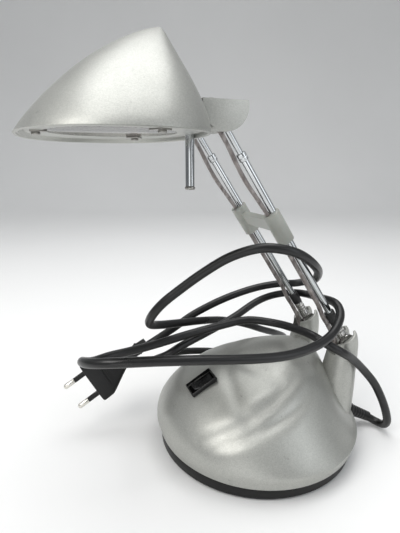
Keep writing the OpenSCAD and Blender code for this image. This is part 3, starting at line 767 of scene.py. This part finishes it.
def tower_surface(s):
    """One hinge tower: rings through a front and a rear point, then the cup's lip and floor."""
    knots = [((38.0, 16.0), (70.0, 16.0), 16.0), ((43.9, 32.0), (71.9, 33.0), 14.0),
             ((47.5, 50.0), (72.8, 56.0), 12.3), ((50.8, 64.0), (73.5, 73.0), 10.9),
             ((52.2, 71.5), (72.2, 81.2), 10.0), ((52.62, 74.4), (69.4, 85.4), 10.0)]
    flat = spline([(*a, *b, w) for a, b, w in knots], 8)
    n = 96
    turn = np.arange(n) * 2 * np.pi / n
    rings = []
    for y0, z0, y1, z1, w in flat:
        mid = np.array([0, (y0 + y1) / 2, (z0 + z1) / 2])
        half = np.array([0, (y1 - y0) / 2, (z1 - z0) / 2])
        wide = (w * np.cos(turn))[:, None] * np.array([1.0, 0, 0])
        rings.append(mid + wide + np.sin(turn)[:, None] * half)
    mid, last = rings[-1].mean(0), rings[-1]
    for inset, rise in ((0.04, 0.06), (0.15, 0.14), (0.4, 0.25), (0.8, 0.3), (1.2, 0.25), (1.6, 0.05),
                        (1.75, -0.4), (1.8, -1.0), (1.8, -2.1), (2.2, -2.4)):
        rings.append(mid + (last - mid) * (1 - inset / 10.0) + rise * ALONG)
    verts = np.concatenate(rings) + np.array([s * HINGE_X, 0, 0])
    return verts, ring_faces(len(rings), n, cap_first=True, cap_last=True)


v, f = base_surface()
shell = mesh_object("base_shell_v", v, f, angle=None)
towers = []
SLOT_HALF = 4.4
for s in (-1, 1):
    v, f = tower_surface(s)
    tower = mesh_object("tower", v, f, angle=None)
    near, far = s * HINGE_X - SLOT_HALF, s * HINGE_X + SLOT_HALF
    slot = box_object("slot", (near, 24, 67.5), (far, 104, 107))
    eye = cylinder_object("eye", 6.4, (near, *HINGE[1:]), (far, *HINGE[1:]))
    towers.append(cut_with(tower, [slot, eye]))
# The switch's place on the dome, turned to lie on its slope.
SWITCH_AT = np.array([7.0, -44.0, 52.8])
SWITCH_TURN = turn_matrix(30)
cutters = [box_object("switch_hole", (-6.6, -9.6, -12), (6.6, 9.6, 12), SWITCH_TURN, SWITCH_AT),
           cylinder_object("gland_hole", 4.6, GLAND_AT - 14 * gland_dir, GLAND_AT + 30 * gland_dir)]
shell = join([cut_with(shell, cutters)] + towers)
shade(shell, 32)
stand_for(shell, "base_shell", "base")

pan_rows = [(0.01, 1.2), (71.2, 1.2), (71.7, 1.35), (71.95, 1.7), (72.0, 2.3), (72.0, 5.0), (72.0, 8.2),
            (71.7, 8.9), (71.7, 9.95), (69.6, 9.95), (69.6, 3.8), (0.01, 3.8)]
pan = revolve("bottom_pan_v", pan_rows, 180, (0, BASE_Y, 0), closed=False)
stand_for(pan, "bottom_pan", "base")
foot_rows = [(0.01, 0), (65.2, 0), (65.7, 0.15), (65.95, 0.5), (65.95, 1.2), (0.01, 1.2)]
foot = revolve("foot_pad_v", foot_rows, 160, (0, BASE_Y, 0), closed=False)
stand_for(foot, "foot_pad", "base")


def rounded_plate(half_x, half_y, corner, rows, n_corner=8):
    """Stacked rounded rectangles: rows of (inset, z)."""
    def outline(inset):
        pts = []
        r = max(corner - inset, 0.15)
        x, y = half_x - corner, half_y - corner
        for cx, cy, a0 in ((x, y, 0), (-x, y, 90), (-x, -y, 180), (x, -y, 270)):
            for k in range(n_corner + 1):
                a = math.radians(a0 + 90 * k / n_corner)
                pts.append((cx + r * math.cos(a), cy + r * math.sin(a)))
        return pts
    verts = [(x, y, z) for inset, z in rows for x, y in outline(inset)]
    n = 4 * (n_corner + 1)
    return np.array(verts, float), n


rows = [(0.5, -0.6), (0.05, 0.2), (0.0, 0.5), (0.0, 1.5), (0.15, 1.95), (0.5, 2.3), (1.0, 2.42),
        (1.75, 2.42), (2.1, 2.2), (2.25, 1.6), (2.3, -6.0)]
v, n = rounded_plate(7.5, 10.5, 1.0, rows)
bezel = mesh_object("switch_body_v", v @ SWITCH_TURN.T + SWITCH_AT, ring_faces(len(rows), n), angle=40)
depth_rows = [(0.0, -0.4), (0.0, -15.0), (0.6, -15.6), (5.5, -15.6)]
v2, n2 = rounded_plate(6.3, 9.3, 0.8, depth_rows)
can_faces = ring_faces(len(depth_rows), n2, cap_last=True)
can = mesh_object("can", v2 @ SWITCH_TURN.T + SWITCH_AT, can_faces, angle=40)
stand_for(join([bezel, can]), "switch_body", "base")


def rocker_mesh():
    """A rocker with two dished faces, one end pressed; local axes are the switch's."""
    half_w, half_l = 4.6, 7.7
    ny, nx = 40, 12
    verts, faces = [], []
    for j in range(ny + 1):
        y = -half_l + 2 * half_l * j / ny
        for i in range(nx + 1):
            x = -half_w + 2 * half_w * i / nx
            t = abs(y) / half_l
            dish = 0.35 * math.sin(math.pi * min(t * 1.05, 1)) + 0.10 * (1 - (x / half_w) ** 2)
            top = 3.35 + 1.25 * t ** 1.6 - dish
            drop = 0.45 * max(0.0, (max(abs(x) - half_w + 0.6, abs(y) - half_l + 0.6)) / 0.6) ** 2
            verts.append((x, y, top - drop))
    for j in range(ny):
        for i in range(nx):
            a = j * (nx + 1) + i
            faces.append((a, a + 1, a + nx + 2, a + nx + 1))
    rim = list(range(nx + 1))
    rim += [j * (nx + 1) + nx for j in range(1, ny + 1)]
    rim += [ny * (nx + 1) + i for i in range(nx - 1, -1, -1)]
    rim += [j * (nx + 1) for j in range(ny - 1, 0, -1)]
    start = len(verts)
    for k in rim:
        x, y, _ = verts[k]
        verts.append((x, y, 0.2))
    m = len(rim)
    for k in range(m):
        faces.append((rim[k], rim[(k + 1) % m], start + (k + 1) % m, start + k))
    faces.append(tuple(start + k for k in range(m))[::-1])
    return np.array(verts, float), faces


v, f = rocker_mesh()
rock = turn_matrix(-9)
v = (v @ rock.T + np.array([0, 0, -2.5])) @ SWITCH_TURN.T + SWITCH_AT
rocker = mesh_object("switch_rocker_v", v, f, angle=35)
stand_for(rocker, "switch_rocker", "rocker")

# ---------------------------------------------------------------- arm
STRUT_TURN = turn_matrix(34)


def strut_point(s, z, y=0.0):
    """The point z along a strut from the hinge and y off it, on side s (-1 left, 1 right)."""
    return HINGE + np.array([s * HINGE_X, 0, 0]) + STRUT_TURN @ np.array([0, y, z])


# Turned pieces on each strut: radius, distance along the strut from the hinge.
SLEEVE = [(2.42, 20.1), (3.3, 20.0), (3.6, 20.2), (3.7, 20.6), (3.7, 29.3), (3.6, 29.8), (3.3, 30.0),
          (2.42, 30.0)]
TUBE = [(1.96, 20), (2.4, 20), (2.4, 159.7), (2.3, 160.0), (1.96, 160.0)]
COLLAR = [(2.42, 156.6), (2.75, 156.5), (3.0, 156.7), (3.1, 157.1), (3.1, 158.6), (2.95, 158.75),
          (2.95, 159.1), (3.1, 159.25), (3.1, 160.9), (3.0, 161.3), (2.7, 161.5), (1.97, 161.5),
          (1.97, 160.1), (2.42, 160.1)]
ROD = [(0.01, 50.0), (1.6, 50.0), (1.9, 50.4), (1.9, 185.4), (0.01, 185.5)]
# The lower lead, beside a strut: distance under it, distance along it.
LOW_LEAD = [(-8.4, 0.5), (-8.2, 2), (-7.2, 6), (-6.2, 11), (-5.7, 18), (-5.7, 26), (-5.7, 31),
            (-4.8, 38), (-4.4, 44), (-4.4, 70), (-4.4, 97), (-4.4, 119)]
LOW_LEAD_R, HIGH_LEAD_R = 1.6, 1.4
HIGH_LEAD_FROM, HIGH_LEAD_TO = 119.2, 183


def twist(i, a):
    """The ridges of two strands twisted together."""
    return 1 + 0.035 * np.cos(2 * a + i * 0.42)


for k, s in (("l", -1), ("r", 1)):
    at = strut_point(s, 0)
    round_over("strut_foot_" + k, 0.25, 2, 40, 40)
    sleeve = revolve("strut_sleeve_%s_v" % k, SLEEVE, 56, at, STRUT_TURN)
    stand_for(sleeve, "strut_sleeve_" + k, "lower_arm")
    tube = revolve("lower_tube_%s_v" % k, TUBE, 64, at, STRUT_TURN)
    stand_for(tube, "lower_tube_" + k, "lower_arm")
    collar = revolve("tube_collar_%s_v" % k, COLLAR, 56, at, STRUT_TURN)
    stand_for(collar, "tube_collar_" + k, "lower_arm")
    rod = revolve("upper_rod_%s_v" % k, ROD, 56, at, STRUT_TURN, closed=False)
    stand_for(rod, "upper_rod_" + k, "upper_arm")

    line = np.array([strut_point(s, z, y) for y, z in LOW_LEAD])
    lead = swept("lower_lead_%s_v" % k, spline(line, 10), LOW_LEAD_R, 18, twist)
    dress(lead, SLOT["lower_lead_" + k])
    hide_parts("lower_lead_" + k)
    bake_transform(lead, "base", "lower_arm",
             tuple(strut_point(s, 1.0, -8) * MM), tuple(strut_point(s, 16, -6) * MM))
    # The upper lead bows away from the rod between the clip and the housing.
    z = np.linspace(HIGH_LEAD_FROM, HIGH_LEAD_TO, 60)
    y = -4.2 - 1.6 * np.sin(np.pi * np.clip((z - 119.5) / 56.0, 0, 1)) ** 2
    line = np.array([strut_point(s, zz, yy) for zz, yy in zip(z, y)])
    lead = swept("upper_lead_%s_v" % k, line, HIGH_LEAD_R, 18, twist)
    dress(lead, SLOT["upper_lead_" + k])
    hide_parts("upper_lead_" + k)
    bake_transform(lead, "lower_arm", "upper_arm",
             tuple(strut_point(s, 122, -4.4) * MM), tuple(strut_point(s, 176, -4.4) * MM))
    round_over("hinge_pin_" + k, 0.3, 2, 40, 40)


round_over("tube_clip", 0.9, 3, 35, 45)

# ---------------------------------------------------------------- head
round_over("head_housing", 0.9, 3, 35, 40)
round_over("head_axle", 0.3, 2, 40, 40)
round_over("head_knuckle", 0.8, 3, 35, 40)


def shade_ring(s, inset, drop, n):
    """The shade's outline at s of its height (0 the rim, 1 the peak)."""
    grow = (1 - min(s, 1.0) ** 1.25) ** 0.8
    half_y, half_x = max(HEAD_L / 2 * grow - inset, 0.3), max(HEAD_W / 2 * grow - inset, 0.3)
    mid = RIM_Y + HEAD_L * 0.282 * (0.62 * s + 0.38 * s ** 5)
    a = np.arange(n) * 2 * np.pi / n
    c, q = np.cos(a), np.sin(a)
    e = 2 / 2.3
    x = half_x * np.sign(c) * np.abs(c) ** e
    y = mid + half_y * np.sign(q) * np.abs(q) ** e
    return np.stack([x, y, np.full(n, RIM_Z + HEAD_H * s - drop)], 1)


def shade_mesh():
    """The shade: its inside from the top down, the rounded rim, then its outside up to the peak."""
    n = 240
    rings = []
    levels = 1 - (1 - np.linspace(0.0, 1, 74)) ** 1.55
    inner = [shade_ring(s, 2.2, 0.5, n) for s in (levels[:60] * 0.93 / levels[59])[::-1]]
    rings += inner[:-1]
    for z, inset in ((0.9, 2.2), (0.35, 2.05), (0.08, 1.75), (0.0, 1.35), (0.03, 0.95), (0.2, 0.5),
                     (0.55, 0.15)):
        ring = shade_ring(0.0, inset, 0, n)
        ring[:, 2] = RIM_Z + z
        rings.append(ring)
    rings += [shade_ring(s, 0.0, 0, n) for s in levels if s * HEAD_H > 1.2]
    return np.concatenate(rings), ring_faces(len(rings), n, cap_first=True, cap_last=True)


v, f = shade_mesh()
shade_obj = mesh_object("shade_shell_v", v, f, angle=None)
NOTCH_R, NOTCH_HALF = 15.2, 31.7
notch = cylinder_object("notch", NOTCH_R, AXLE - (NOTCH_HALF, 0, 0), AXLE + (NOTCH_HALF, 0, 0), 96)
shade_obj = cut_with(shade_obj, [notch])
shade(shade_obj, 35)
stand_for(shade_obj, "shade_shell", "head")

round_over("shade_bezel", 0.45, 2, 35, 40)
round_over("cover_glass", 0.5, 3, 35, 50)
round_over("glass_claws", 0.25, 2, 35, 40)
round_over("claw_screws", 0.35, 3, 35, 40)
rim = np.array([0.0, RIM_Y, RIM_Z])
BOWL_LOW, BOWL_DEEP, BOWL_R, BOWL_HOLE = 5.1, 24, 38, 5.5


def bowl_z(r):
    """Height of the reflector's inner face above the rim."""
    return BOWL_LOW + BOWL_DEEP * (1 - (r / BOWL_R) ** 2)


bowl_r = np.linspace(BOWL_HOLE, 36.5, 40)
rows = [(r, bowl_z(r)) for r in bowl_r]
rows += [(38.0, 5.1), (39.3, 5.1), (39.4, 5.5), (39.3, 5.9), (38.4, 5.95)]
rows += [(r + 0.5, bowl_z(r) + 0.8) for r in bowl_r[::-1]]
stand_for(revolve("reflector_v", rows, 120, rim), "reflector", "head")
round_over("lamp_holder", 0.4, 2, 35, 40)
BULB_R = 4.4
top = bowl_z(BOWL_HOLE) + 0.8 - 2.5
capsule = [(0.01, top - 16.4)]
for k in range(1, 13):
    a = math.radians(90 * k / 12)
    capsule.append((BULB_R * math.sin(a), top - 12 - BULB_R * math.cos(a)))
capsule += [(BULB_R, top - 5.0), (4.2, top - 4.0), (3.6, top - 3.2), (2.6, top - 2.8),
            (2.3, top - 1.5), (2.3, top - 0.1), (0.01, top)]
stand_for(revolve("halogen_bulb_v", capsule, 64, rim, closed=False), "halogen_bulb", "head")
handle_at = (0, RIM_Y + 47.5, RIM_Z)
rod_rows = [(0.01, -29.0), (2.5, -29.0), (2.9, -28.6), (2.9, 3.5), (0.01, 3.7)]
stand_for(revolve("handle_rod_v", rod_rows, 64, handle_at, closed=False), "handle_rod", "head")
tip_rows = [(0.01, -31.0), (2.7, -31.0), (3.1, -30.8), (3.3, -30.4), (3.3, -29.4), (3.1, -29.05),
            (2.9, -28.95), (0.01, -28.95)]
stand_for(revolve("handle_tip_v", tip_rows, 64, handle_at, closed=False), "handle_tip", "head")

# ---------------------------------------------------------------- studio
def stage_material():
    m = Nodes("paper")
    m.set(Metallic=0.0)
    cloud = m.noise(1.4, 3.0)
    m.colour(m.ramp(cloud, "Fac", [(0.3, (0.86, 0.86, 0.855)), (0.7, (0.90, 0.90, 0.895))]))
    m.rough(m.ramp(m.noise(30.0, 3.0), "Fac", [(0.3, 0.78), (0.7, 0.9)]))
    m.bump((m.noise(300.0, 2.0), "Fac", 0.02, 0.0005))
    return m.mat


# A sheet of paper that lies under the lamp and curves up behind it, in metres.
size, steps = 3.2, 18
FLAT_TO, CURVE_R, WALL_TOP = 1.5, 0.7, 2.6
profile = [(-2.4, 0.0), (FLAT_TO, 0.0)]
for k in range(1, steps + 1):
    a = math.pi / 2 * k / steps
    profile.append((FLAT_TO + CURVE_R * math.sin(a), CURVE_R - CURVE_R * math.cos(a)))
profile.append((FLAT_TO + CURVE_R, WALL_TOP))
look = np.array([-back.x, -back.y])
look = look / np.linalg.norm(look)
across = np.array([-look[1], look[0]])
verts = []
for d, z in profile:
    for side in (-1, 1):
        xy = look * d + across * side * size
        verts.append((xy[0], xy[1], z - 0.0003))
faces = [(2 * i, 2 * i + 1, 2 * i + 3, 2 * i + 2) for i in range(len(profile) - 1)]
floor = mesh_object("floor", verts, faces, scale=1.0, angle=60)
floor.data.materials.append(stage_material())

world = bpy.data.worlds.new("world")
bpy.context.scene.world = world
world.use_nodes = True
bg = world.node_tree.nodes["Background"]
sky = world.node_tree.nodes.new("ShaderNodeTexCoord")
split = world.node_tree.nodes.new("ShaderNodeSeparateXYZ")
fade = world.node_tree.nodes.new("ShaderNodeValToRGB")
stops = fade.color_ramp.elements
stops[0].position, stops[0].color = 0.38, (0.10, 0.105, 0.11, 1)
stops[1].position, stops[1].color = 0.72, (0.96, 0.98, 1.0, 1)
shift = world.node_tree.nodes.new("ShaderNodeMath")
shift.operation = "MULTIPLY_ADD"
shift.inputs[1].default_value = 0.5
shift.inputs[2].default_value = 0.5
world.node_tree.links.new(sky.outputs["Generated"], split.inputs["Vector"])
world.node_tree.links.new(split.outputs["Z"], shift.inputs[0])
world.node_tree.links.new(shift.outputs["Value"], fade.inputs["Fac"])
world.node_tree.links.new(fade.outputs["Color"], bg.inputs["Color"])
bg.inputs["Strength"].default_value = 0.55


def area(name, at, target, size_xy, power, colour=(1, 1, 1)):
    data = bpy.data.lights.new(name, "AREA")
    data.shape = "RECTANGLE"
    data.size, data.size_y = size_xy
    data.energy = power
    data.color = colour
    obj = bpy.data.objects.new(name, data)
    obj.location = at
    obj.rotation_euler = (Vector(target) - Vector(at)).to_track_quat("-Z", "Y").to_euler()
    bpy.context.scene.collection.objects.link(obj)


area("key", (0.30, -0.80, 0.95), (0, -0.02, 0.12), (0.7, 0.5), 6.0, (1.0, 0.985, 0.96))
area("top", (-0.1, 0.0, 1.1), (0, 0, 0.1), (0.9, 0.9), 6.5)
area("right", (0.75, 0.55, 0.45), (0, 0, 0.1), (0.5, 0.7), 1.6, (0.93, 0.96, 1.0))
area("low", (0.7, -0.45, 0.12), (0, -0.05, 0.1), (0.5, 0.25), 0.5)

bpy.context.scene.view_settings.view_transform = "Standard"
bpy.context.scene.view_settings.look = "None"
bpy.context.scene.view_settings.exposure = 0.0
